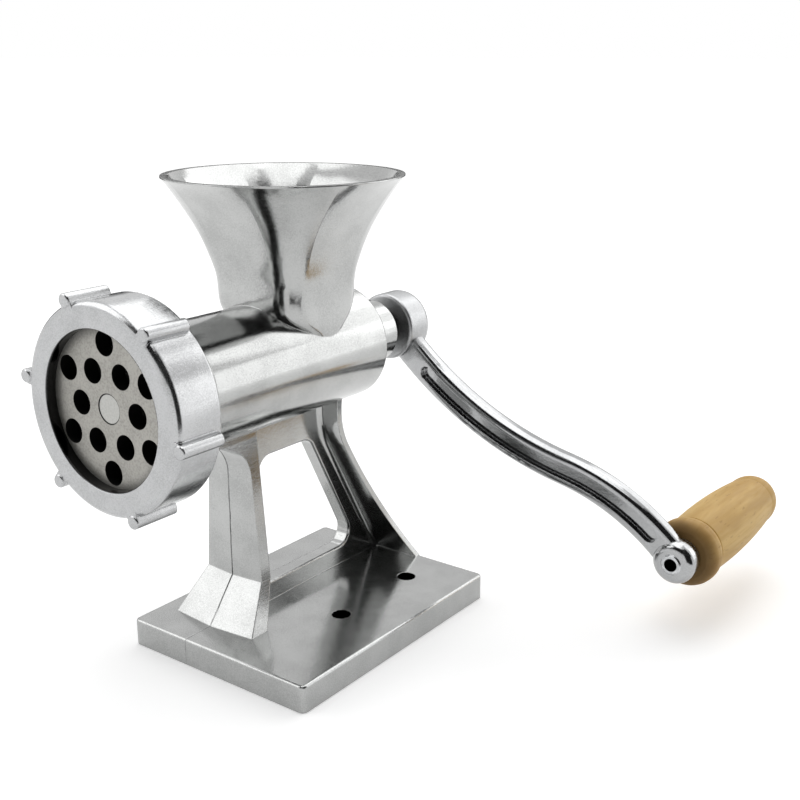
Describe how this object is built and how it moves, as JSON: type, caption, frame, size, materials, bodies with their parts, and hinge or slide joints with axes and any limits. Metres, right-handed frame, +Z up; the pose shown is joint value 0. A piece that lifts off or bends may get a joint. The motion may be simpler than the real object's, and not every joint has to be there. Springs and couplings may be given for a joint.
{
  "type": "hand crank meat grinder",
  "caption": "Table-mounted hand meat grinder: flared hopper on a cast barrel, feed screw, knife and perforated plate held by a ribbed ring nut, turned by a curved crank with a wooden grip.",
  "frame": {"origin": "on the underside of the base, below the barrel's axis and midway along the base", "axes": "+Z up, -Y towards the outlet, +Y towards the crank, +X towards the drilled wide side of the base"},
  "size_m": [0.1728, 0.2219, 0.1564],
  "materials": {
    "cast_aluminium": "polished casting",
    "tool_steel": "ground matte",
    "zinc_steel": "plated satin",
    "white_plastic": "matte",
    "beech_wood": "smooth oiled, scorched at the collar"
  },
  "bodies": {
    "body": {"body_casting": "cast_aluminium", "plate_key_pin": "tool_steel", "thrust_washer": "white_plastic"},
    "drive": {"auger_screw": "cast_aluminium", "auger_stud": "tool_steel", "cutter_knife": "tool_steel", "crank_arm": "cast_aluminium", "crank_washer": "zinc_steel", "crank_screw": "zinc_steel", "grip_washer": "zinc_steel", "grip_spindle": "zinc_steel"},
    "grip": {"wooden_grip": "beech_wood"},
    "plate": {"die_plate": "tool_steel"},
    "ring": {"clamp_ring": "cast_aluminium"}
  },
  "joints": [
    {"name": "crank_turn", "type": "hinge", "parent": "body", "child": "drive", "pos_m": [0, 0.06, 0.0945], "axis": [0, -1, 0], "continuous": true},
    {"name": "grip_spin", "type": "hinge", "parent": "drive", "child": "grip", "pos_m": [0.1205, 0.1, 0.0282], "axis": [0, -1, 0], "continuous": true},
    {"name": "plate_slide", "type": "slide", "parent": "body", "child": "plate", "axis": [0, -1, 0], "range_m": [0, 0.0101]},
    {"name": "ring_turn", "type": "hinge", "parent": "plate", "child": "ring", "pos_m": [0, -0.07, 0.0945], "axis": [0, -1, 0], "range_deg": [0, 1440]}
  ],
  "couplings": [
    {"joint": "plate_slide", "follows": "ring_turn", "m_per_rad": 0.00039789}
  ]
}
